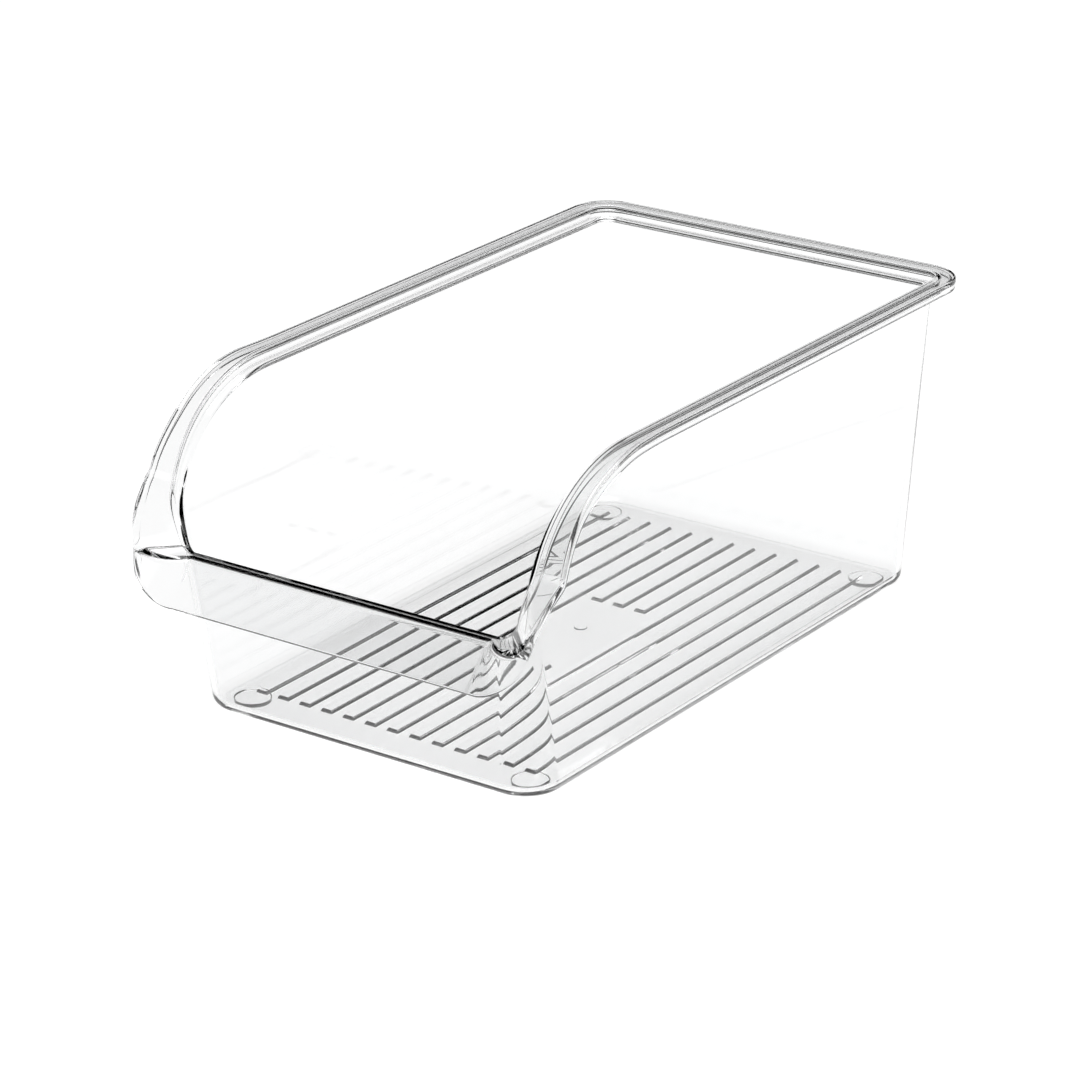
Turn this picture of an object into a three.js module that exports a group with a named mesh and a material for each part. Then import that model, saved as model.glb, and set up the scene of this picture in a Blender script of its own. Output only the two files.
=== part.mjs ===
// Open-front fridge bin: one clear injection moulding, built region by region.
// Millimetres, +Z up, +X to the right of a person facing the pull lip, front of the bin at -Y.
// The origin is on the surface that the feet stand on, under the middle of the bin's box.
import * as THREE from 'three';

// ---- driving dimensions ----
const HEIGHT = 125.5;            // feet to the top of the rim
const FOOT_HEIGHT = 1.8;
const BASE_HALF_WIDTH = 75.9;    // outer faces at the underside of the floor, corners squared
const BASE_HALF_LENGTH = 129.7;
const SIDE_DRAFT = 1.1;          // degrees off vertical
const BACK_DRAFT = 3.25;
const FRONT_DRAFT = 8.7;
const WALL = 2.0;
const FLOOR = 2.4;
const CORNER_RADIUS_FOOT = 15;   // outer vertical corners, at the floor and at the rim
const CORNER_RADIUS_RIM = 7;
const EDGE_RADIUS_OUT = 4;       // where the walls turn into the floor
const EDGE_RADIUS_IN = 4.5;
const FLOOR_INSET = 8;           // walls' share of the floor, in from the squared outer face

const FRONT_HEIGHT = 67.3;       // feet to the top of the front wall
const SCOOP_RADIUS = 69.6;       // convex bend of the side walls' top edge
const SCOOP_ANGLE = 74.5;        // its steepest slope, degrees
const SCOOP_FILLET = 8.6;        // concave bend into the front wall's top edge
const SCOOP_END = 16.8;          // where that bend ends, measured round the wall past the corner

const RIM_LEDGE = 3.0;           // stacking ledge inside the rim: width and depth
const RIM_DROP = 4.0;
const RIM_FLANGE = 8.0;          // flat flange outside the ledge
const RIM_FLARE = 2.2;           // how much wider the flange gets along the scoop
const RIM_SKIRT = 4.7;           // down-turned edge of the flange
const RIM_THICK = 2.0;
const RIM_TAIL = 3.5;            // rim's share of the wall, below the ledge
const LEDGE_ROUND = 1.2;         // rounded inner edge of the ledge
const RISER_EASE = 0.4;          // broken edge between riser and flange
const SKIRT_ROLL = 1.0;          // bend from flange to skirt
const LIP_REACH = 18.3;          // pull lip, out from the front wall
const LIP_DROP = 15.7;
const LIP_ROLL = 6.0;            // bend at the lip's shoulder
const CORNER_REACH = 2.4;        // extra reach that squares the lip's corners
const LIP_SLOPE = 48;            // slope of the lip's apron, degrees below level
const LIP_LEDGE = 0.4;           // what is left of the ledge along the lip
const LIP_ROUND = 0.2;
const LIP_EASE = 0.15;
const MIN_BEND = 0.3;            // tightest bend on the underside

// The rim changes along the wall. Each run is a pair of distances past the front corner's start.
const FLARE_RUN = [-75, -35];    // flange widens
const SQUARE_RUN = [-20, 6];     // flange swells towards the lip's corner
const LEDGE_RUN = [1, 10.5];     // stacking ledge fades out
const REACH_RUN = [2, 12];       // flange reaches out into the lip
const DROP_RUN = [4, 16];        // skirt deepens into the lip's apron
const TURN_RUN = [4, 18];        // upright skirt leans out into the sloping apron
const UNSQUARE_RUN = [10, 18];   // the corner's swelling fades out
const LIP_FROM = -4;             // joint between the rail and the lip's corner

const RIB_COUNT = 13;
const RIB_PITCH = 10;
const RIB_WIDTH = 5.2;
const RIB_HEIGHT = 1.2;
const RIB_FLANK = 0.5;           // how far each flank leans in
const RIB_HALF_LENGTH = 111;
const PAD_HALF_LENGTH = 31;      // plain pad in the middle of the floor
const PAD_RIBS = [6, 7, 8];      // ribs that stop at the pad
const MARK_RADIUS = 2.5;
const MARK_HEIGHT = 0.4;
const MARK_Y = 6;
const FOOT_RADIUS = 7;
const FOOT_X = 62;
const FOOT_Y = 113.5;

// Steps that curved parts are drawn with.
const BACK_CORNER_STEPS = 6;
const SCOOP_STEPS = 12;
const FRONT_CORNER_STEPS = 10;
const EDGE_STEPS = 4;
const UNDERSIDE_STEPS = 3;
const ROUND_STEPS = 2;
const DISC_STEPS = 32;
const SETTLE_ROUNDS = 60;

// ---- derived sizes ----
const rad = THREE.MathUtils.degToRad;
const QUARTER = Math.PI / 2;
const FLOOR_Z = FOOT_HEIGHT;                    // underside of the floor
const FLOOR_TOP = FOOT_HEIGHT + FLOOR;
const RIM_OUT = RIM_LEDGE - WALL + RIM_FLANGE;  // flange edge, out from the wall's outer face
const backAt = (z) => BASE_HALF_LENGTH + (z - FLOOR_Z) * Math.tan(rad(BACK_DRAFT));
const frontAt = (z) => BASE_HALF_LENGTH + (z - FLOOR_Z) * Math.tan(rad(FRONT_DRAFT));
const sideAt = (z) => BASE_HALF_WIDTH + (z - FLOOR_Z) * Math.tan(rad(SIDE_DRAFT));
const RADIUS_TAPER = (CORNER_RADIUS_RIM - CORNER_RADIUS_FOOT) / (HEIGHT - FLOOR_Z);
const radiusAt = (z) => CORNER_RADIUS_FOOT + (z - FLOOR_Z) * RADIUS_TAPER;

// The tub's own centre sits behind the middle of the whole box, because the lip reaches forward.
const REAR_EDGE = backAt(HEIGHT) + RIM_OUT;
const FRONT_EDGE = frontAt(FRONT_HEIGHT - LIP_DROP) + LIP_REACH;
const TUB_Y = (FRONT_EDGE - REAR_EDGE) / 2;

// ---- stations: places round the tub, counter-clockwise seen from above ----
// A station lies between two corner centres and looks out at an angle, so it is one upright
// cut through wall and rim. Corner centres move with height, because of the draft.
// `turn` is the angle in quarter turns; `q` is the distance round the wall past the start of
// the front corner; `z` is the height of the rim there.
const CORNERS = { backLeft: [-1, 1], frontLeft: [-1, -1], frontRight: [1, -1], backRight: [1, 1] };

function cornerCentre(name, z) {
  const [sx, sy] = CORNERS[name];
  const halfLength = sy > 0 ? backAt(z) : frontAt(z);
  return [sx * (sideAt(z) - radiusAt(z)), sy * (halfLength - radiusAt(z))];
}

// The point of a station at height z, `out` beyond the wall's outer face.
function place(station, z, out) {
  const a = cornerCentre(station.from, z);
  const b = cornerCentre(station.to, z);
  const reach = radiusAt(z) + out;
  const x = a[0] + (b[0] - a[0]) * station.t + reach * Math.cos(QUARTER * station.turn);
  const y = a[1] + (b[1] - a[1]) * station.t + reach * Math.sin(QUARTER * station.turn);
  return new THREE.Vector3(x, y + TUB_Y, z);
}

// The scoop: level, convex bend, short straight, concave bend, level again.
const scoop = (() => {
  const slope = rad(SCOOP_ANGLE);
  const lowQ = SCOOP_END - SCOOP_FILLET * Math.sin(slope);
  const lowZ = FRONT_HEIGHT + SCOOP_FILLET * (1 - Math.cos(slope));
  const highZ = HEIGHT - SCOOP_RADIUS * (1 - Math.cos(slope));
  const highQ = lowQ - (highZ - lowZ) / Math.tan(slope);
  return { slope, lowQ, highQ, highZ, start: highQ - SCOOP_RADIUS * Math.sin(slope) };
})();

function rimSlope(q) {
  if (q <= scoop.start || q >= SCOOP_END) return 0;
  if (q < scoop.highQ) return Math.asin((q - scoop.start) / SCOOP_RADIUS);
  if (q <= scoop.lowQ) return scoop.slope;
  return Math.asin((SCOOP_END - q) / SCOOP_FILLET);
}

function rimHeight(q) {
  const level = 1 - Math.cos(rimSlope(q));
  if (q < scoop.highQ) return HEIGHT - SCOOP_RADIUS * level;
  if (q <= scoop.lowQ) return scoop.highZ - (q - scoop.highQ) * Math.tan(scoop.slope);
  return FRONT_HEIGHT + SCOOP_FILLET * level;
}

// Finds the height at which a station meets the scoop, given its distance for a trial height.
function settle(distanceAt) {
  let z = HEIGHT;
  for (let round = 0; round < SETTLE_ROUNDS; round += 1) {
    z = (z + rimHeight(distanceAt(z))) / 2;
  }
  return z;
}

const sideLength = (z) => backAt(z) + frontAt(z) - 2 * radiusAt(z);
const frontLength = (z) => 2 * (sideAt(z) - radiusAt(z));

// One half of the tub, from the middle of the back to the middle of the front on the left side.
function halfStations() {
  const list = [];
  const add = (from, to, t, turn, z, q) => list.push({ from, to, t, turn, z, q });
  for (const t of [0.5, 1]) add('backRight', 'backLeft', t, 1, HEIGHT, -Infinity);
  for (let i = 1; i <= BACK_CORNER_STEPS; i += 1) {
    add('backLeft', 'backLeft', 0, 1 + i / BACK_CORNER_STEPS, HEIGHT, -Infinity);
  }
  for (let i = 0; i <= SCOOP_STEPS; i += 1) {
    const q = FLARE_RUN[0] + (LIP_FROM - FLARE_RUN[0]) * (i / SCOOP_STEPS);
    const z = rimHeight(q);
    add('backLeft', 'frontLeft', 1 + q / sideLength(z), 2, z, q);
  }
  for (let i = 0; i <= FRONT_CORNER_STEPS; i += 1) {
    const part = i / FRONT_CORNER_STEPS;
    const z = settle((h) => radiusAt(h) * QUARTER * part);
    add('frontLeft', 'frontLeft', 0, 2 + part, z, radiusAt(z) * QUARTER * part);
  }
  const cornerEnd = radiusAt(FRONT_HEIGHT) * QUARTER;
  const straightFrom = TURN_RUN[1];
  const t = (straightFrom - cornerEnd) / frontLength(FRONT_HEIGHT);
  add('frontLeft', 'frontRight', t, 3, FRONT_HEIGHT, straightFrom);
  add('frontLeft', 'frontRight', 0.5, 3, FRONT_HEIGHT, Infinity);
  return list;
}

const MIRROR = {
  backLeft: 'backRight', backRight: 'backLeft', frontLeft: 'frontRight', frontRight: 'frontLeft',
};

function mirrored(station) {
  return {
    from: MIRROR[station.to], to: MIRROR[station.from], t: 1 - station.t,
    turn: 6 - station.turn, z: station.z, q: station.q,
  };
}

const half = halfStations();
const STATIONS = [...half, ...half.slice(1, -1).reverse().map(mirrored)];
const COUNT = STATIONS.length;
const BACK_MITRE = half.findIndex((s) => s.turn === 1.5);
const LIP_START = half.findIndex((s) => s.q === LIP_FROM);
const FRONT_MITRE = half.findIndex((s) => s.turn === 2.5);
const LIP_STRAIGHT = half.length - 2;
const opposite = (index) => COUNT - index;

function span(first, last) {
  const list = [];
  for (let i = first; i <= last; i += 1) list.push(STATIONS[((i % COUNT) + COUNT) % COUNT]);
  return list;
}

// ---- sections: [out, z] outlines, drawn in the upright plane of a station ----
function arc(cx, cz, radius, start, end, steps) {
  const points = [];
  for (let i = 0; i <= steps; i += 1) {
    const a = rad(start + (end - start) * (i / steps));
    points.push([cx + radius * Math.cos(a), cz + radius * Math.sin(a)]);
  }
  return points;
}

// How far along a run a station is, eased at both ends.
const share = (station, run) => THREE.MathUtils.smoothstep(station.q, run[0], run[1]);
const blend = (station, run, from, to) => THREE.MathUtils.lerp(from, to, share(station, run));

// An upright cut meets a sloping rim at a slant, so a depth that is square to the slope looks
// longer in the cut.
const upright = (station, depth) => depth / Math.cos(rimSlope(station.q));
const ledgeDrop = (station) => blend(station, LEDGE_RUN, RIM_DROP, LIP_LEDGE);
const wallTop = (station) => station.z - ledgeDrop(station) - upright(station, RIM_TAIL);

function wallSection(station) {
  const top = wallTop(station);
  const inner = -WALL - EDGE_RADIUS_IN;
  return [
    [-WALL, top],
    ...arc(inner, FLOOR_TOP + EDGE_RADIUS_IN, EDGE_RADIUS_IN, 0, -90, EDGE_STEPS),
    [-FLOOR_INSET, FLOOR_TOP],
    [-FLOOR_INSET, FLOOR_Z],
    ...arc(-EDGE_RADIUS_OUT, FLOOR_Z + EDGE_RADIUS_OUT, EDGE_RADIUS_OUT, -90, 0, EDGE_STEPS),
    [0, top],
  ];
}

// Flange, skirt and lip are one strip: level run, bend, straight run. The strip's underside is
// the same path moved in by the thickness.
function rimSection(station) {
  const drop = ledgeDrop(station);
  const ledge = blend(station, LEDGE_RUN, RIM_LEDGE, LIP_LEDGE);
  const round = blend(station, LEDGE_RUN, LEDGE_ROUND, LIP_ROUND);
  const ease = blend(station, LEDGE_RUN, RISER_EASE, LIP_EASE);
  const flange = RIM_OUT + RIM_FLARE * share(station, FLARE_RUN);
  const squarer = CORNER_REACH * (share(station, SQUARE_RUN) - share(station, UNSQUARE_RUN));
  const reach = blend(station, REACH_RUN, flange, LIP_REACH) + squarer;
  const bend = blend(station, TURN_RUN, SKIRT_ROLL, LIP_ROLL);
  const turn = blend(station, TURN_RUN, 90, LIP_SLOPE);
  const fall = blend(station, DROP_RUN, RIM_SKIRT, LIP_DROP);
  const sin = Math.sin(rad(turn));
  const cos = Math.cos(rad(turn));

  const straight = (fall - bend * (1 - cos)) / sin;
  const bendX = reach - bend * sin - straight * cos;
  const level = upright(station, RIM_THICK);
  const slant = Math.hypot(RIM_THICK * sin, level * cos);
  const under = [reach - slant * sin, -fall - slant * cos];
  const meet = under[0] - ((-level - under[1]) / sin) * cos;
  const inside = Math.max(bend - RIM_THICK, MIN_BEND);
  const tangent = inside * Math.tan(rad(turn / 2));
  const outline = [
    [0, -drop - upright(station, RIM_TAIL)],
    [0, -drop - level],
    [ledge, -drop - level],
    [ledge, -level],
    ...arc(meet - tangent, -level - inside, inside, 90, 90 - turn, UNDERSIDE_STEPS),
    under,
    [reach, -fall],
    ...arc(bendX, -bend, bend, 90 - turn, 90, EDGE_STEPS),
    [ledge - WALL + ease, 0],
    [ledge - WALL, -ease],
    [ledge - WALL, -drop],
    ...arc(round - WALL, -drop - round, round, 90, 180, ROUND_STEPS),
    [-WALL, -drop - upright(station, RIM_TAIL)],
  ];
  return outline.map(([out, h]) => [out, station.z + h]);
}

// ---- solids ----
// Joins rings of equal point count into a closed body. Each four-sided patch is cut along its
// shorter diagonal, so two regions that share a face cut it alike.
function solid(rings, capOutline, closed) {
  const size = rings[0].length;
  const positions = rings.flat().flatMap((p) => [p.x, p.y, p.z]);
  const index = [];
  const strips = closed ? rings.length : rings.length - 1;
  for (let i = 0; i < strips; i += 1) {
    const next = (i + 1) % rings.length;
    for (let k = 0; k < size; k += 1) {
      const k2 = (k + 1) % size;
      const [a, b] = [i * size + k, i * size + k2];
      const [c, d] = [next * size + k2, next * size + k];
      const first = rings[i][k].distanceTo(rings[next][k2]);
      const second = rings[i][k2].distanceTo(rings[next][k]);
      if (first < second) index.push(a, b, c, a, c, d);
      else index.push(a, b, d, b, c, d);
    }
  }
  if (!closed) {
    const flat = capOutline.map(([u, v]) => new THREE.Vector2(u, v));
    const last = (rings.length - 1) * size;
    for (const [a, b, c] of THREE.ShapeUtils.triangulateShape(flat, [])) {
      index.push(c, b, a, last + a, last + b, last + c);
    }
  }
  const geometry = new THREE.BufferGeometry();
  geometry.setAttribute('position', new THREE.Float32BufferAttribute(positions, 3));
  geometry.setIndex(index);
  return orient(geometry);
}

// Turns the faces outward if the outline happened to run the other way.
function orient(geometry) {
  const p = geometry.getAttribute('position');
  const index = geometry.getIndex().array;
  const [a, b, c] = [new THREE.Vector3(), new THREE.Vector3(), new THREE.Vector3()];
  let volume = 0;
  for (let i = 0; i < index.length; i += 3) {
    a.fromBufferAttribute(p, index[i]);
    b.fromBufferAttribute(p, index[i + 1]);
    c.fromBufferAttribute(p, index[i + 2]);
    volume += a.dot(b.cross(c));
  }
  if (volume < 0) {
    for (let i = 0; i < index.length; i += 3) {
      [index[i], index[i + 1]] = [index[i + 1], index[i]];
    }
  }
  geometry.computeVertexNormals();
  return geometry;
}

function sweep(stations, section) {
  const outlines = stations.map(section);
  const rings = stations.map((s, i) => outlines[i].map(([out, z]) => place(s, z, out)));
  return solid(rings, outlines[0], false);
}

function floorPlate() {
  const loop = (z) => STATIONS.map((s) => place(s, z, -FLOOR_INSET));
  const rings = [loop(FLOOR_Z), loop(FLOOR_TOP)];
  return solid(rings, rings[0].map((p) => [p.x, p.y]), false);
}

// A rib is a low flat-topped bar with leaning flanks, running front to back on the floor.
function ribBar(fromY, toY) {
  const half = RIB_WIDTH / 2;
  const shape = new THREE.Shape([
    new THREE.Vector2(-half, 0),
    new THREE.Vector2(half, 0),
    new THREE.Vector2(half - RIB_FLANK, RIB_HEIGHT),
    new THREE.Vector2(RIB_FLANK - half, RIB_HEIGHT),
  ]);
  const bar = new THREE.ExtrudeGeometry(shape, {
    depth: toY - fromY, bevelEnabled: false,
  });
  bar.rotateX(QUARTER);
  bar.translate(0, toY, 0);
  return bar;
}

function disc(radius, height) {
  const geometry = new THREE.CylinderGeometry(radius, radius, height, DISC_STEPS);
  geometry.rotateX(QUARTER);
  return geometry;
}

// ---- assembly ----
const group = new THREE.Group();
const clear = { color: 0xeef1f2, roughness: 0.06, metalness: 0, transparent: true, opacity: 0.3 };

function add(name, geometry, x = 0, y = 0, z = 0) {
  const mesh = new THREE.Mesh(geometry, new THREE.MeshStandardMaterial(clear));
  mesh.name = name;
  mesh.position.set(x, y, z);
  group.add(mesh);
}

add('floor_plate', floorPlate());
add('wall_back', sweep(span(-BACK_MITRE, BACK_MITRE), wallSection));
add('wall_left', sweep(span(BACK_MITRE, FRONT_MITRE), wallSection));
add('wall_front', sweep(span(FRONT_MITRE, opposite(FRONT_MITRE)), wallSection));
add('wall_right', sweep(span(opposite(FRONT_MITRE), opposite(BACK_MITRE)), wallSection));

add('rim_back', sweep(span(-BACK_MITRE, BACK_MITRE), rimSection));
add('rim_left', sweep(span(BACK_MITRE, LIP_START), rimSection));
add('rim_right', sweep(span(opposite(LIP_START), opposite(BACK_MITRE)), rimSection));
add('lip_corner_left', sweep(span(LIP_START, LIP_STRAIGHT), rimSection));
add('lip_corner_right', sweep(span(opposite(LIP_STRAIGHT), opposite(LIP_START)), rimSection));
add('lip_front', sweep(span(LIP_STRAIGHT, opposite(LIP_STRAIGHT)), rimSection));

for (let i = 1; i <= RIB_COUNT; i += 1) {
  const x = (i - (RIB_COUNT + 1) / 2) * RIB_PITCH;
  const label = `floor_rib_${String(i).padStart(2, '0')}`;
  if (PAD_RIBS.includes(i)) {
    add(`${label}_front`, ribBar(-RIB_HALF_LENGTH, -PAD_HALF_LENGTH), x, TUB_Y, FLOOR_TOP);
    add(`${label}_back`, ribBar(PAD_HALF_LENGTH, RIB_HALF_LENGTH), x, TUB_Y, FLOOR_TOP);
  } else {
    add(label, ribBar(-RIB_HALF_LENGTH, RIB_HALF_LENGTH), x, TUB_Y, FLOOR_TOP);
  }
}
add('gate_mark', disc(MARK_RADIUS, MARK_HEIGHT), 0, TUB_Y + MARK_Y, FLOOR_TOP + MARK_HEIGHT / 2);

for (const [end, sy] of [['front', -1], ['back', 1]]) {
  for (const [side, sx] of [['left', -1], ['right', 1]]) {
    const foot = disc(FOOT_RADIUS, FOOT_HEIGHT);
    add(`foot_${end}_${side}`, foot, sx * FOOT_X, TUB_Y + sy * FOOT_Y, FOOT_HEIGHT / 2);
  }
}

export default group;
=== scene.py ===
# %% [markdown]
# # A clear fridge bin
#
# The bin is one injection moulding in water-clear plastic. It has a long tapered tub, side walls
# that swoop down to a low front, a stepped rim that turns into a pull lip, ribs on the floor and
# four small feet. Clear plastic hides nothing: the eye sees the front, the back and every edge of
# a wall at once. So the shape has to be one clean skin of even thickness, with real roundings.
#
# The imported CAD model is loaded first. It is the fixed frame that every piece is measured from.

# %% Load the frame
import math
import bmesh
import bpy
import numpy as np
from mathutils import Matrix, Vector


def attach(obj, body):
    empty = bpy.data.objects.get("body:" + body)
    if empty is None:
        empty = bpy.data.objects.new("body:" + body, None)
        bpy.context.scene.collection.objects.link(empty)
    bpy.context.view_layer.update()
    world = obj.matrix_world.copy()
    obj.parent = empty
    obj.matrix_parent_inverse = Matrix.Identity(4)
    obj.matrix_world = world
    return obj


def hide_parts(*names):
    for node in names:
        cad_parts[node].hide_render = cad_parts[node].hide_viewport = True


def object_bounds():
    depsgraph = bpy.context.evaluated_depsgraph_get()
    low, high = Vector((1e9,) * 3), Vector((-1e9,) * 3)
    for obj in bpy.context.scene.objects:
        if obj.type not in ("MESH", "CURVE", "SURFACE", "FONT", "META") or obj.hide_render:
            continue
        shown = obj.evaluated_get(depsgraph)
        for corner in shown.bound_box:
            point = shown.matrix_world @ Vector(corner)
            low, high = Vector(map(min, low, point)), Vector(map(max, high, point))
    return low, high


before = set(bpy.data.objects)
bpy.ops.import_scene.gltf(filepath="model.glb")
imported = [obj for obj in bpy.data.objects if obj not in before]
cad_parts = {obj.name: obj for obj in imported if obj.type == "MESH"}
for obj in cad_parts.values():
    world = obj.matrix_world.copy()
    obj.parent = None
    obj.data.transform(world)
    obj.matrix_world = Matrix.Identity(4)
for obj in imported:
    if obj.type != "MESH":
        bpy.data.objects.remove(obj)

CAD_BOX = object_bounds()
MM = 0.001
LOW, HIGH = (Vector(corner) / MM for corner in CAD_BOX)
print("CAD box in mm:", [round(x, 2) for x in LOW], [round(x, 2) for x in HIGH])

# %% [markdown]
# ## Camera
#
# The camera stands high on the right of the pull lip, far away, with a long lens, so that
# parallel edges stay almost parallel. It aims near the middle of the bin. It is described by two
# angles and a distance, because those are what a photographer would set.

# %% Camera
CAMERA_ROUND = math.radians(35.04)
CAMERA_UP = math.radians(21.81)
CAMERA_RANGE = 1.5359
LENS_MM = 137.3
SENSOR_MM = 36.0
aim = Vector((0, -0.0144, 0.0482))

away = Vector((math.sin(CAMERA_ROUND) * math.cos(CAMERA_UP),
               -math.cos(CAMERA_ROUND) * math.cos(CAMERA_UP),
               math.sin(CAMERA_UP)))
lens = bpy.data.cameras.new("studio_camera")
lens.lens = LENS_MM
lens.sensor_width = SENSOR_MM
lens.clip_end = 50
camera = bpy.data.objects.new("studio_camera", lens)
camera.location = aim + away * CAMERA_RANGE
camera.rotation_euler = (math.radians(90) - CAMERA_UP, 0, CAMERA_ROUND)
bpy.context.scene.collection.objects.link(camera)
bpy.context.scene.camera = camera
print("camera at", [round(x, 4) for x in camera.location])

# %% [markdown]
# ## Sizes of the moulding
#
# These are the drawing's sizes, in millimetres, as the CAD part has them. Walls lean outward
# (draft) so that the moulding slides off its mould, and the upright corners get tighter towards
# the rim. Two sizes are taken from the loaded frame.

# %% Sizes
HEIGHT = HIGH.z
FOOT_HEIGHT = 1.8
FLOOR_THICK = 2.4
WALL = 2.0
BASE_HALF_WIDTH = 75.9
BASE_HALF_LENGTH = 129.7
SIDE_DRAFT, BACK_DRAFT, FRONT_DRAFT = (math.tan(math.radians(a)) for a in (1.1, 3.25, 8.7))
RADIUS_FOOT, RADIUS_RIM = 15.0, 7.0
EDGE_OUT, EDGE_IN = 4.0, 4.5
FLOOR_INSET = 8.0
FRONT_HEIGHT = 67.3

FLOOR_UNDER = FOOT_HEIGHT
FLOOR_TOP = FOOT_HEIGHT + FLOOR_THICK


def back_at(z): return BASE_HALF_LENGTH + (z - FLOOR_UNDER) * BACK_DRAFT
def front_at(z): return BASE_HALF_LENGTH + (z - FLOOR_UNDER) * FRONT_DRAFT
def side_at(z): return BASE_HALF_WIDTH + (z - FLOOR_UNDER) * SIDE_DRAFT


def radius_at(z):
    part = (z - FLOOR_UNDER) / (HEIGHT - FLOOR_UNDER)
    return RADIUS_FOOT + (RADIUS_RIM - RADIUS_FOOT) * part


FLANGE_OUT = 9.0
TUB_Y = HIGH.y - back_at(HEIGHT) - FLANGE_OUT
print("the tub's centre is", round(TUB_Y, 3), "mm behind the middle of the box")

# %% [markdown]
# ## The scoop
#
# Seen from the side, the rim runs level, bends down in a big arc, and meets the low front in a
# small one. The curve is written as a slope first. Height follows from the slope, and so does the
# extra depth that an upright cut needs to keep the rim's real thickness where it is steep.

# %% Scoop curve
SCOOP_RADIUS, SCOOP_FILLET, SCOOP_END = 69.6, 8.6, 16.8
STEEPEST = math.radians(74.5)
low_q = SCOOP_END - SCOOP_FILLET * math.sin(STEEPEST)
low_z = FRONT_HEIGHT + SCOOP_FILLET * (1 - math.cos(STEEPEST))
high_z = HEIGHT - SCOOP_RADIUS * (1 - math.cos(STEEPEST))
high_q = low_q - (high_z - low_z) / math.tan(STEEPEST)
start_q = high_q - SCOOP_RADIUS * math.sin(STEEPEST)


def rim_slope(q):
    limit = math.sin(STEEPEST)
    upper = np.arcsin(np.clip((q - start_q) / SCOOP_RADIUS, 0, limit))
    lower = np.arcsin(np.clip((SCOOP_END - q) / SCOOP_FILLET, 0, limit))
    return np.where(q < high_q, upper, np.where(q <= low_q, STEEPEST, lower))


def rim_height(q):
    bend = 1 - np.cos(rim_slope(q))
    straight = high_z - (np.clip(q, high_q, low_q) - high_q) * math.tan(STEEPEST)
    lower = np.where(q <= low_q, straight, FRONT_HEIGHT + SCOOP_FILLET * bend)
    return np.where(q < high_q, HEIGHT - SCOOP_RADIUS * bend, lower)


print("the rim starts to drop", round(-start_q, 1), "mm behind the front corner")

# %% [markdown]
# ## Stations round the tub
#
# The skin is swept round the tub. A station is one upright cut: it stands between two corner
# centres and looks outward. Half of the stations are laid from the middle of the back to the
# middle of the front, and the other half are their mirror images. They crowd together where the
# wall turns or the rim drops, because that is where clear plastic bends light the most.
#
# The rim changes on its way to the lip. Each change has its own run, a pair of distances past the
# start of the front corner, so that no two of them begin and end together and leave a kink.

# %% Stations
FLARE_RUN = (-75.0, -35.0)     # flange widens along the scoop
SQUARE_RUN = (-20.0, 6.0)      # flange swells towards the lip's corner
LEDGE_RUN = (1.0, 10.5)        # stacking ledge fades out
REACH_RUN = (2.0, 12.0)        # flange reaches out into the lip
DROP_RUN = (4.0, 16.0)         # skirt deepens into the lip's apron
TURN_RUN = (4.0, 18.0)         # upright skirt leans out into the sloping apron
UNSQUARE_RUN = (10.0, 18.0)    # the corner's swelling fades out
LIP_FROM = -4.0
CORNER_STEPS = 28
SCOOP_STEPS = 54

BACK, FRONT = 1.0, -1.0
FAR_BACK, FAR_FRONT = -1e6, 1e6


def settle(part):
    """Height of the rim at a part of the front corner, where height and distance set each other."""
    z = HEIGHT
    for _ in range(60):
        z = (z + float(rim_height(radius_at(z) * math.pi / 2 * part))) / 2
    return z


def left_half():
    """Rows of: side and end of one corner, of the other, share between them, turn, height, q."""
    rows = [(1, BACK, -1, BACK, t, 1.0, HEIGHT, FAR_BACK) for t in (0.5, 0.75, 1.0)]
    for i in range(1, CORNER_STEPS + 1):
        rows.append((-1, BACK, -1, BACK, 0.0, 1 + i / CORNER_STEPS, HEIGHT, FAR_BACK))
    for q in np.linspace(FLARE_RUN[0], LIP_FROM, SCOOP_STEPS + 1):
        z = float(rim_height(q))
        length = back_at(z) + front_at(z) - 2 * radius_at(z)
        rows.append((-1, BACK, -1, FRONT, 1 + q / length, 2.0, z, q))
    for i in range(2 * CORNER_STEPS + 1):
        part = i / (2 * CORNER_STEPS)
        z = settle(part)
        q = radius_at(z) * math.pi / 2 * part
        rows.append((-1, FRONT, -1, FRONT, 0.0, 2 + part, z, q))
    corner_end = radius_at(FRONT_HEIGHT) * math.pi / 2
    width = 2 * (side_at(FRONT_HEIGHT) - radius_at(FRONT_HEIGHT))
    for q in (0.5 * (corner_end + TURN_RUN[1]), TURN_RUN[1]):
        rows.append((-1, FRONT, 1, FRONT, (q - corner_end) / width, 3.0, FRONT_HEIGHT, q))
    rows.append((-1, FRONT, 1, FRONT, 0.5, 3.0, FRONT_HEIGHT, FAR_FRONT))
    return np.array(rows)


half = left_half()
mirrored = half[-2:0:-1].copy()
mirrored[:, [0, 1, 2, 3]] = half[-2:0:-1][:, [2, 3, 0, 1]] * [-1, 1, -1, 1]
mirrored[:, 4] = 1 - mirrored[:, 4]
mirrored[:, 5] = 6 - mirrored[:, 5]
ring = np.vstack([half, mirrored])
Z, Q = ring[:, 6], ring[:, 7]


def corner_centre(side, end, z):
    half_length = np.where(end > 0, back_at(z), front_at(z))
    return side * (side_at(z) - radius_at(z)), end * (half_length - radius_at(z))


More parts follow.
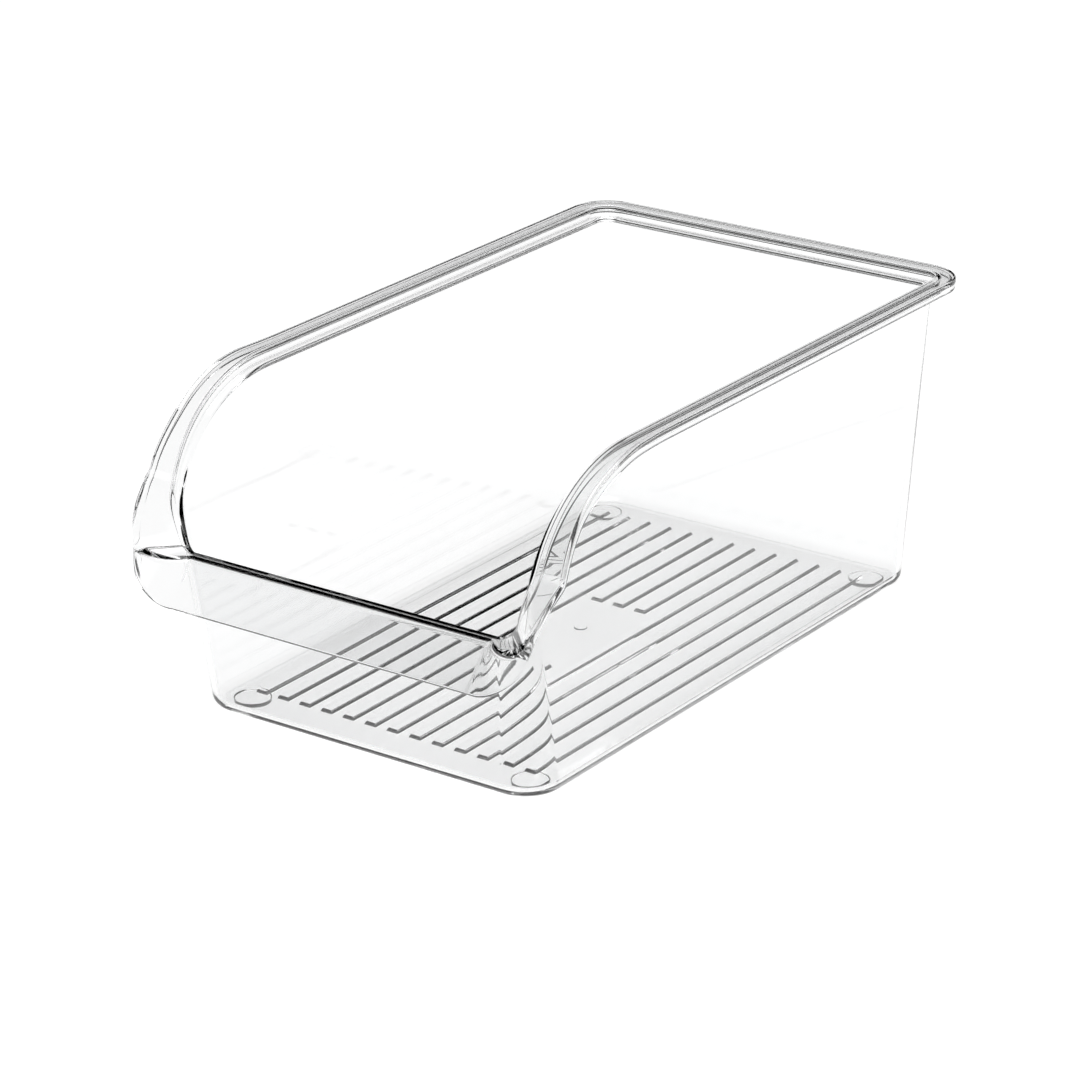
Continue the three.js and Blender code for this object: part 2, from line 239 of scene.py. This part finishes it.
def place(z, out):
    """Points `out` beyond the wall's outer face at height z, one row for each station."""
    side_a, end_a, side_b, end_b, t, turn = (c[:, None] for c in ring[:, :6].T)
    ax, ay = corner_centre(side_a, end_a, z)
    bx, by = corner_centre(side_b, end_b, z)
    reach = radius_at(z) + out
    x = ax + (bx - ax) * t + reach * np.cos(turn * np.pi / 2)
    y = ay + (by - ay) * t + reach * np.sin(turn * np.pi / 2) + TUB_Y
    return np.stack([x, y, z + 0 * x], axis=2) * MM


print(len(ring), "stations round the tub")

# %% [markdown]
# ## One section with real roundings
#
# The section is drawn as straight runs between corners, then each corner is turned into an arc.
# It starts on the floor inside, climbs the wall, steps over the stacking ledge, crosses the
# flange, turns down the skirt or the lip, comes back underneath, and goes down the outside. Every
# arc has a fixed number of steps, so that all stations have the same points and join as a grid.

# %% Section
RIM_LEDGE, RIM_DROP, RIM_FLARE = 3.0, 4.0, 2.2
RIM_SKIRT, RIM_THICK, RIM_TAIL = 4.7, 2.0, 3.5
LIP_REACH, LIP_DROP, LIP_ROLL = 18.3, 15.7, 6.0
LIP_SLOPE = 48.0
CORNER_REACH = 2.34
LIP_LEDGE, LIP_LEDGE_OUT = 0.9, 0.6
SKIRT_SLOPE, SKIRT_ROLL = 89.9, 1.0
LEDGE_ROUND, LIP_ROUND = 1.2, 0.5
RISER_ROUND, TOP_ROUND, EDGE_ROUND = 0.5, 0.6, 0.8
LEAST_BEND, LEAST_WALL = 0.5, 1.0


def ease(run, start, end):
    t = np.clip((Q - run[0]) / (run[1] - run[0]), 0, 1)
    return start + (end - start) * t * t * (3 - 2 * t)


def arc(before, corner, after, radius, steps):
    """Points of the arc that rounds a corner, for all stations at once."""
    u, v = before - corner, after - corner
    reach_u, reach_v = (np.linalg.norm(w, axis=1) for w in (u, v))
    u, v = u / reach_u[:, None], v / reach_v[:, None]
    half_angle = np.arccos(np.clip((u * v).sum(1), -0.999999, 0.999999)) / 2
    room = 0.49 * np.minimum(reach_u, reach_v)
    radius = np.minimum(radius, room * np.tan(half_angle))
    run = (radius / np.tan(half_angle))[:, None]
    middle = (u + v) / np.linalg.norm(u + v, axis=1)[:, None]
    centre = corner + middle * (radius / np.sin(half_angle))[:, None]
    p, q = corner + u * run - centre, corner + v * run - centre
    sweep = np.pi - 2 * half_angle
    found = []
    for k in range(steps + 1):
        t = k / steps
        a = (np.sin((1 - t) * sweep) / np.sin(sweep))[:, None]
        b = (np.sin(t * sweep) / np.sin(sweep))[:, None]
        found.append(centre + a * p + b * q)
    return found


ledge_in = ease(LEDGE_RUN, RIM_LEDGE, LIP_LEDGE)
ledge_out = ease(LEDGE_RUN, RIM_LEDGE, LIP_LEDGE_OUT)
drop_in = ease(LEDGE_RUN, RIM_DROP, LIP_LEDGE)
drop_out = ease(LEDGE_RUN, RIM_DROP, LIP_LEDGE_OUT)
flange = FLANGE_OUT + RIM_FLARE * ease(FLARE_RUN, 0, 1)
squarer = CORNER_REACH * (ease(SQUARE_RUN, 0, 1) - ease(UNSQUARE_RUN, 0, 1))
reach = ease(REACH_RUN, 0, 1) * (LIP_REACH - flange) + flange + squarer
bend = ease(TURN_RUN, SKIRT_ROLL, LIP_ROLL)
turn = np.radians(ease(TURN_RUN, SKIRT_SLOPE, LIP_SLOPE))
fall = ease(DROP_RUN, RIM_SKIRT, LIP_DROP)
level = RIM_THICK / np.cos(rim_slope(Q))
tail = RIM_TAIL / np.cos(rim_slope(Q))
slant = np.hypot(RIM_THICK * np.sin(turn), level * np.cos(turn))
under_out, under_z = reach - slant * np.sin(turn), -fall - slant * np.cos(turn)
meet_out = under_out - (-level - under_z) / np.sin(turn) * np.cos(turn)
inside = np.maximum(bend - RIM_THICK, LEAST_BEND)
wall_top = Z - drop_in - tail
wall_top_out = np.minimum(Z - drop_out - tail, Z - drop_out - level - LEAST_WALL)


def at(out, z):
    return np.stack([out + 0 * Z, z + 0 * Z], axis=1)


# corner, rounding radius (0 keeps the point), steps
corners = [
    (at(-FLOOR_INSET, FLOOR_TOP), 0, 0),
    (at(-WALL, FLOOR_TOP), EDGE_IN, 12),
    (at(-WALL, wall_top), 0, 0),
    (at(-WALL, Z - drop_in), ease(LEDGE_RUN, LEDGE_ROUND, LIP_ROUND), 6),
    (at(ledge_in - WALL, Z - drop_in), RISER_ROUND, 4),
    (at(ledge_in - WALL, Z), TOP_ROUND, 5),
    (at(reach - fall / np.tan(turn), Z), bend, 12),
    (at(reach, Z - fall), EDGE_ROUND, 5),
    (at(under_out, Z + under_z), EDGE_ROUND, 5),
    (at(meet_out, Z - level), inside, 10),
    (at(ledge_out, Z - level), TOP_ROUND, 4),
    (at(ledge_out, Z - drop_out - level), EDGE_ROUND, 5),
    (at(0, Z - drop_out - level), TOP_ROUND, 4),
    (at(0, wall_top_out), 0, 0),
    (at(0, FLOOR_UNDER), EDGE_OUT, 12),
    (at(-FLOOR_INSET, FLOOR_UNDER), 0, 0),
]
section, marks = [], []
for k, (corner, radius, steps) in enumerate(corners):
    marks.append(len(section))
    if steps == 0:
        section.append(corner)
    else:
        section += arc(corners[k - 1][0], corner, corners[k + 1][0], radius, steps)
section = np.stack(section, axis=1)
skin = place(section[:, :, 1], section[:, :, 0])
INNER_JOINT, OUTER_JOINT, LAST = marks[2], marks[13], section.shape[1] - 1
print("the skin is a grid of", skin.shape[0], "stations by", skin.shape[1], "points")

# %% [markdown]
# ## Normals for the whole skin
#
# A normal says which way the surface faces. If each piece worked out its own, light would kink at
# the joints and draw seams that the moulding doesn't have. So the normals are measured once, on
# the whole grid, and every piece is cut from the grid with its normals already attached.


# %% Normals
def grid_normals(points, closed):
    """Cross product of the two directions through each point of a grid."""
    if closed:
        along = np.roll(points, -1, axis=0) - np.roll(points, 1, axis=0)
    else:
        along = np.gradient(points, axis=0)
    across = np.empty_like(points)
    across[:, 1:-1] = points[:, 2:] - points[:, :-2]
    across[:, 0] = points[:, 1] - points[:, 0]
    across[:, -1] = points[:, -1] - points[:, -2]
    normal = np.cross(across, along)
    length = np.linalg.norm(normal, axis=2, keepdims=True)
    return normal / np.maximum(length, 1e-20)


skin_normals = grid_normals(skin, True)
if (skin_normals[0, INNER_JOINT] @ np.array([0, -1, 0])) < 0:
    skin_normals = -skin_normals
skin_normals[:, 0] = (0, 0, 1)
skin_normals[:, LAST] = (0, 0, -1)
print("inner wall at the back faces", np.round(skin_normals[0, INNER_JOINT], 3))

# %% [markdown]
# ## Turning a grid into a mesh
#
# One helper makes every swept piece: it joins the grid's points with four-sided faces, checks
# that they face the same way as the normals, and stores the normals as custom ones.


# %% Mesh helpers
def make_object(name, verts, faces, normals):
    mesh = bpy.data.meshes.new(name)
    mesh.from_pydata([tuple(v) for v in verts], [], faces)
    mesh.update()
    first = mesh.polygons[len(mesh.polygons) // 2]
    if first.normal.dot(Vector(normals[first.vertices[0]])) < 0:
        mesh.flip_normals()
    for polygon in mesh.polygons:
        polygon.use_smooth = True
    mesh.normals_split_custom_set_from_vertices([tuple(n) for n in normals])
    made = bpy.data.objects.new(name, mesh)
    bpy.context.scene.collection.objects.link(made)
    return made


def grid_faces(rows, columns, closed=False):
    faces = []
    for i in range(rows if closed else rows - 1):
        for k in range(columns - 1):
            a, b = i * columns + k, (i + 1) % rows * columns + k
            faces.append((a, b, b + 1, a + 1))
    return faces


def strip(stations, first, last):
    """One rectangle of the skin, as points, normals and faces."""
    points = skin[stations, first:last + 1]
    normals = skin_normals[stations, first:last + 1]
    faces = grid_faces(points.shape[0], points.shape[1])
    return points.reshape(-1, 3), normals.reshape(-1, 3), faces


def skin_piece(name, stations, spans):
    verts, normals, faces = [], [], []
    for first, last in spans:
        p, n, f = strip(stations, first, last)
        faces += [tuple(i + len(verts) for i in face) for face in f]
        verts += list(p)
        normals += list(n)
    return make_object(name, verts, faces, normals)


pieces = {}

# %% [markdown]
# ## Walls, rim and lip
#
# The moulding has no real joints, but it has parts with jobs: four walls, a rim for stacking and
# stiffness, and a lip to pull. Each is cut from the same skin, mitred at the corners, so the
# pieces meet edge to edge with nothing between them and read as one clear body.

# %% Walls, rim and lip
TOTAL = len(ring)
back_mitre = 2 + CORNER_STEPS // 2
lip_start = int(np.argmin(np.abs(half[:, 7] - LIP_FROM)))
front_mitre = lip_start + 1 + CORNER_STEPS
lip_straight = len(half) - 2


def around(first, last):
    return np.arange(first, last + 1) % TOTAL


WALL_SPANS = [(0, INNER_JOINT), (OUTER_JOINT, LAST)]
RIM_SPANS = [(INNER_JOINT, OUTER_JOINT)]
CUTS = {
    "wall_back": (-back_mitre, back_mitre, WALL_SPANS),
    "wall_left": (back_mitre, front_mitre, WALL_SPANS),
    "wall_front": (front_mitre, TOTAL - front_mitre, WALL_SPANS),
    "wall_right": (TOTAL - front_mitre, TOTAL - back_mitre, WALL_SPANS),
    "rim_back": (-back_mitre, back_mitre, RIM_SPANS),
    "rim_left": (back_mitre, lip_start, RIM_SPANS),
    "rim_right": (TOTAL - lip_start, TOTAL - back_mitre, RIM_SPANS),
    "lip_corner_left": (lip_start, lip_straight, RIM_SPANS),
    "lip_corner_right": (TOTAL - lip_straight, TOTAL - lip_start, RIM_SPANS),
    "lip_front": (lip_straight, TOTAL - lip_straight, RIM_SPANS),
}
for node, (first, last, spans) in CUTS.items():
    pieces[node] = skin_piece("clear_" + node, around(first, last), spans)
    print(node, len(pieces[node].data.polygons), "faces")

# %% [markdown]
# ## Floor ribs
#
# Ribs keep packets off the wet floor and stiffen it. Each is a low flat-topped bar with leaning
# flanks and rounded shoulders. A cube could be stretched and bevelled, but a grid gives full say
# over the roundings: the same outline again and again along the length, rising quickly from the
# floor at both ends. It is left open below, because it is one with the floor.

# %% Ribs
RIB_COUNT, RIB_PITCH, RIB_WIDTH, RIB_HEIGHT = 13, 10.0, 5.2, 1.2
RIB_FLANK, RIB_ROUND = 0.5, 0.45
RIB_HALF, PAD_HALF = 111.0, 31.0
PAD_RIBS = (6, 7, 8)
RIB_RISE = [(0.0, 0.0), (0.08, 0.35), (0.2, 0.7), (0.4, 0.88), (0.7, 0.97), (1.1, 1.0)]
RIB_TURNS = 7

tilt = math.atan2(RIB_FLANK, RIB_HEIGHT)
turns = np.linspace(tilt, np.pi / 2, RIB_TURNS)
tangent = RIB_ROUND * math.tan((np.pi / 2 - tilt) / 2)
round_x = RIB_WIDTH / 2 - RIB_FLANK - tangent + RIB_ROUND * np.cos(turns)
round_z = RIB_HEIGHT - RIB_ROUND + RIB_ROUND * np.sin(turns)
right = [(RIB_WIDTH / 2, 0.0)] + list(zip(round_x, round_z))
outline = np.array([(-x, z) for x, z in right] + right[::-1])
RIB_STEPS = len(outline) - 1
openings_above = []


def rib(name, x, y_low, y_high):
    rows = [(y_low + d, s) for d, s in RIB_RISE] + [(y_high - d, s) for d, s in RIB_RISE[::-1]]
    grid = np.array([[(x + dx, y + TUB_Y, FLOOR_TOP + dz * s) for dx, dz in outline]
                     for y, s in rows]) * MM
    normals = grid_normals(grid, False)
    if normals[len(rows) // 2, RIB_STEPS // 2][2] < 0:
        normals = -normals
    made = make_object("clear_" + name, grid.reshape(-1, 3),
                       grid_faces(len(rows), RIB_STEPS + 1), normals.reshape(-1, 3))
    rim = list(grid[0]) + list(grid[1:, -1]) + list(grid[-1, -2::-1]) + list(grid[-2:0:-1, 0])
    openings_above.append(rim)
    return made


for i in range(1, RIB_COUNT + 1):
    x = (i - (RIB_COUNT + 1) / 2) * RIB_PITCH
    node = f"floor_rib_{i:02d}"
    if i in PAD_RIBS:
        pieces[node + "_front"] = rib(node + "_front", x, -RIB_HALF, -PAD_HALF)
        pieces[node + "_back"] = rib(node + "_back", x, PAD_HALF, RIB_HALF)
    else:
        pieces[node] = rib(node, x, -RIB_HALF, RIB_HALF)
print(len(openings_above), "ribs")

# %% [markdown]
# ## Gate mark and feet
#
# Molten plastic enters the mould at one point in the middle of the floor, and leaves a small round
# mark. The feet are low discs that hold the floor off the shelf. Both are turned shapes, so they
# are made like work on a lathe: a profile of radius and height, spun round an upright axis.

# %% Gate mark and feet
MARK_RADIUS, MARK_HEIGHT, MARK_Y, MARK_ROUND = 2.5, 0.4, 6.0, 0.3
FOOT_RADIUS, FOOT_X, FOOT_Y, FOOT_ROUND = 7.0, 62.0, 113.5, 0.6
TURN_STEPS = 64
openings_below = []


def rounded_profile(radius, near, far, round_off):
    """From the edge at height near, round the far edge, to the middle at height far."""
    sign = 1 if far > near else -1
    turns = np.linspace(0, np.pi / 2, 9)
    arc_r = radius - round_off + round_off * np.cos(turns)
    arc_z = far - sign * round_off * (1 - np.sin(turns))
    inner = np.array([0.6, 0.25, 0.02]) * radius
    return ([(radius, near)] + list(zip(arc_r, arc_z)) + [(r, far) for r in inner])


def lathe(name, x, y, profile, facing, opening_list):
    spin = np.linspace(0, 2 * np.pi, TURN_STEPS, endpoint=False)
    grid = np.array([[(x + r * math.cos(a), y + TUB_Y + r * math.sin(a), z)
                      for r, z in profile] for a in spin]) * MM
    normals = grid_normals(grid, True)
    if normals[0, -1][2] * facing < 0:
        normals = -normals
    faces = grid_faces(TURN_STEPS, len(profile), closed=True)
    faces.append(tuple(i * len(profile) + len(profile) - 1 for i in range(TURN_STEPS)))
    made = make_object("clear_" + name, grid.reshape(-1, 3), faces, normals.reshape(-1, 3))
    opening_list.append(list(grid[:, 0]))
    return made


pieces["gate_mark"] = lathe("gate_mark", 0, MARK_Y, rounded_profile(
    MARK_RADIUS, FLOOR_TOP, FLOOR_TOP + MARK_HEIGHT, MARK_ROUND), 1, openings_above)
for end, sy in (("front", -1), ("back", 1)):
    for side, sx in (("left", -1), ("right", 1)):
        node = f"foot_{end}_{side}"
        profile = rounded_profile(FOOT_RADIUS, FLOOR_UNDER, 0.0, FOOT_ROUND)
        pieces[node] = lathe(node, sx * FOOT_X, sy * FOOT_Y, profile, -1, openings_below)
print("mark and feet made")

# %% [markdown]
# ## Floor plate
#
# The floor is two flat sheets, top and underside. The top has a slot under every rib and the
# underside a hole over every foot, so that no hidden face is left inside the plastic. A hidden
# face would bend light where the real moulding is solid. Each sheet is filled between the edge
# loops of its neighbours, point for point, so the skin is closed.


# %% Floor plate
def flat_sheet(outline, holes, up):
    bm = bmesh.new()
    edges = []
    for loop in [outline] + holes:
        verts = [bm.verts.new(tuple(p)) for p in loop]
        edges += [bm.edges.new((verts[k - 1], verts[k])) for k in range(len(verts))]
    bmesh.ops.triangle_fill(bm, use_beauty=True, use_dissolve=False, edges=edges,
                            normal=(0, 0, up))
    bm.verts.index_update()
    verts = [tuple(v.co) for v in bm.verts]
    faces = [tuple(v.index for v in f.verts) for f in bm.faces]
    bm.free()
    turned = []
    for face in faces:
        a, b, c = (np.array(verts[i]) for i in face[:3])
        facing = np.cross(b - a, c - a)[2]
        turned.append(face if facing * up > 0 else face[::-1])
    return verts, turned, [(0, 0, up)] * len(verts)


top = flat_sheet(skin[:, 0], openings_above, 1.0)
under = flat_sheet(skin[:, LAST], openings_below, -1.0)
offset = len(top[0])
floor_faces = top[1] + [tuple(i + offset for i in face) for face in under[1]]
floor_mesh = bpy.data.meshes.new("clear_floor_plate")
floor_mesh.from_pydata(top[0] + under[0], [], floor_faces)
floor_mesh.update()
for polygon in floor_mesh.polygons:
    polygon.use_smooth = True
floor_mesh.normals_split_custom_set_from_vertices(top[2] + under[2])
pieces["floor_plate"] = bpy.data.objects.new("clear_floor_plate", floor_mesh)
bpy.context.scene.collection.objects.link(pieces["floor_plate"])
print("floor plate:", len(top[1]), "faces above,", len(under[1]), "below")

# %% [markdown]
# ## Clear plastic
#
# Polished moulding plastic bends light a little more than window glass does. It has no colour of
# its own, only a trace of grey in thick places; here that grey varies at random. It isn't perfect:
# the surface undulates slightly where it shrank in the mould, and it carries faint rubbing. All of
# that is built from noise in the piece's own space.

# %% Clear plastic


def node(tree, kind, **values):
    made = tree.nodes.new(kind)
    for key, value in values.items():
        setattr(made, key, value)
    return made


plastic = bpy.data.materials.new("clear_plastic")
plastic.use_nodes = True
tree = plastic.node_tree
tree.nodes.clear()
output = node(tree, "ShaderNodeOutputMaterial")
shader = node(tree, "ShaderNodeBsdfPrincipled")
shader.inputs["IOR"].default_value = 1.57
shader.inputs["Transmission Weight"].default_value = 1.0
shader.inputs["Specular IOR Level"].default_value = 0.5
tree.links.new(shader.outputs["BSDF"], output.inputs["Surface"])
space = node(tree, "ShaderNodeTexCoord")

tint_noise = node(tree, "ShaderNodeTexNoise")
tint_noise.inputs["Scale"].default_value = 9.0
tint_noise.inputs["Detail"].default_value = 2.0
tree.links.new(space.outputs["Object"], tint_noise.inputs["Vector"])
tint = node(tree, "ShaderNodeValToRGB")
tint.color_ramp.elements[0].position = 0.3
tint.color_ramp.elements[0].color = (0.965, 0.968, 0.970, 1)
tint.color_ramp.elements[1].position = 0.7
tint.color_ramp.elements[1].color = (0.985, 0.987, 0.988, 1)
tree.links.new(tint_noise.outputs["Fac"], tint.inputs["Fac"])
tree.links.new(tint.outputs["Color"], shader.inputs["Base Color"])

rub_noise = node(tree, "ShaderNodeTexNoise")
rub_noise.inputs["Scale"].default_value = 60.0
rub_noise.inputs["Detail"].default_value = 6.0
tree.links.new(space.outputs["Object"], rub_noise.inputs["Vector"])
rub = node(tree, "ShaderNodeMapRange")
rub.inputs["From Min"].default_value = 0.45
rub.inputs["From Max"].default_value = 0.75
rub.inputs["To Min"].default_value = 0.0
rub.inputs["To Max"].default_value = 0.035
tree.links.new(rub_noise.outputs["Fac"], rub.inputs["Value"])
tree.links.new(rub.outputs["Result"], shader.inputs["Roughness"])

swell = node(tree, "ShaderNodeTexNoise")
swell.inputs["Scale"].default_value = 26.0
swell.inputs["Detail"].default_value = 1.0
tree.links.new(space.outputs["Object"], swell.inputs["Vector"])
swell_bump = node(tree, "ShaderNodeBump")
swell_bump.inputs["Strength"].default_value = 1.0
swell_bump.inputs["Distance"].default_value = 0.00004
tree.links.new(swell.outputs["Fac"], swell_bump.inputs["Height"])
tree.links.new(swell_bump.outputs["Normal"], shader.inputs["Normal"])
print("clear plastic has", len(tree.nodes), "nodes")

# %% [markdown]
# ## Studio
#
# Clear things are lit from behind. The floor is a bright pale sheet, and it is what the eye sees
# through every flat wall. Above it the studio is dark, apart from soft panels. Where an edge bends
# the view up into the dark it draws a black line, and where it finds a panel, a white one. This
# is the bright-field method, and it works from all sides because the sheet is under everything.
#
# The sheet lies a hair below the feet. If the two touched, light would pass straight from plastic
# to paper, and each foot would shine as a white disc.

# %% Floor sheet
FLOOR_REACH = 4.0
FLOOR_GAP = 0.00015
sheet = bmesh.new()
bmesh.ops.create_circle(sheet, cap_ends=True, segments=96, radius=FLOOR_REACH)
floor_data = bpy.data.meshes.new("studio_floor")
sheet.to_mesh(floor_data)
sheet.free()
studio_floor = bpy.data.objects.new("studio_floor", floor_data)
bpy.context.scene.collection.objects.link(studio_floor)
studio_floor.location.z = -FLOOR_GAP

paper = bpy.data.materials.new("pale_sheet")
paper.use_nodes = True
paper_shader = paper.node_tree.nodes["Principled BSDF"]
paper_shader.inputs["Base Color"].default_value = (0.3, 0.3, 0.3, 1)
paper_shader.inputs["Roughness"].default_value = 0.35
paper_shader.inputs["Specular IOR Level"].default_value = 0.3
paper_shader.inputs["Emission Color"].default_value = (1, 1, 1, 1)
paper_shader.inputs["Emission Strength"].default_value = 0.96
floor_data.materials.append(paper)
print("floor sheet", FLOOR_REACH, "m in radius")

# %% World and panels
world = bpy.data.worlds.new("studio")
bpy.context.scene.world = world
world.use_nodes = True
sky = world.node_tree
sky.nodes.clear()
sky_out = node(sky, "ShaderNodeOutputWorld")
sky_light = node(sky, "ShaderNodeBackground")
sky_space = node(sky, "ShaderNodeTexCoord")
sky_split = node(sky, "ShaderNodeSeparateXYZ")
sky_ramp = node(sky, "ShaderNodeValToRGB")
sky.links.new(sky_space.outputs["Generated"], sky_split.inputs["Vector"])
sky.links.new(sky_split.outputs["Z"], sky_ramp.inputs["Fac"])
sky.links.new(sky_ramp.outputs["Color"], sky_light.inputs["Color"])
sky.links.new(sky_light.outputs["Background"], sky_out.inputs["Surface"])
sky_ramp.color_ramp.elements[0].position = 0.02
sky_ramp.color_ramp.elements[0].color = (1, 1, 1, 1)
sky_ramp.color_ramp.elements[1].position = 0.12
sky_ramp.color_ramp.elements[1].color = (0.0, 0.0, 0.0, 1)
sky_light.inputs["Strength"].default_value = 1.05


def panel(name, size, strength, place_at, look_at):
    data = bpy.data.lights.new(name, "AREA")
    data.shape = "RECTANGLE"
    data.size, data.size_y = size
    data.energy = strength
    made = bpy.data.objects.new(name, data)
    made.location = place_at
    made.rotation_euler = (Vector(look_at) - Vector(place_at)).to_track_quat("-Z", "Y").to_euler()
    bpy.context.scene.collection.objects.link(made)
    return made


panel("overhead", (1.6, 1.6), 26, (0.0, 0.2, 2.2), (0, 0, 0))

# %% [markdown]
# ## Light paths
#
# A look through the bin can cross a dozen surfaces. Each crossing is a bounce, so the limit is
# raised, or the deepest places would turn black.

# %% Light paths
scene = bpy.context.scene
scene.cycles.max_bounces = 32
scene.cycles.transmission_bounces = 32
scene.cycles.glossy_bounces = 16
scene.cycles.transparent_max_bounces = 32
scene.view_settings.view_transform = "Standard"
print("bounces:", scene.cycles.max_bounces)

# %% [markdown]
# ## Handing over
#
# Every piece gets the plastic, rides on the one body, and stands for its CAD node.

# %% Hand over
for cad_name, piece in pieces.items():
    piece.data.materials.append(plastic)
    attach(piece, "root")
    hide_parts(cad_name)
bpy.context.view_layer.update()
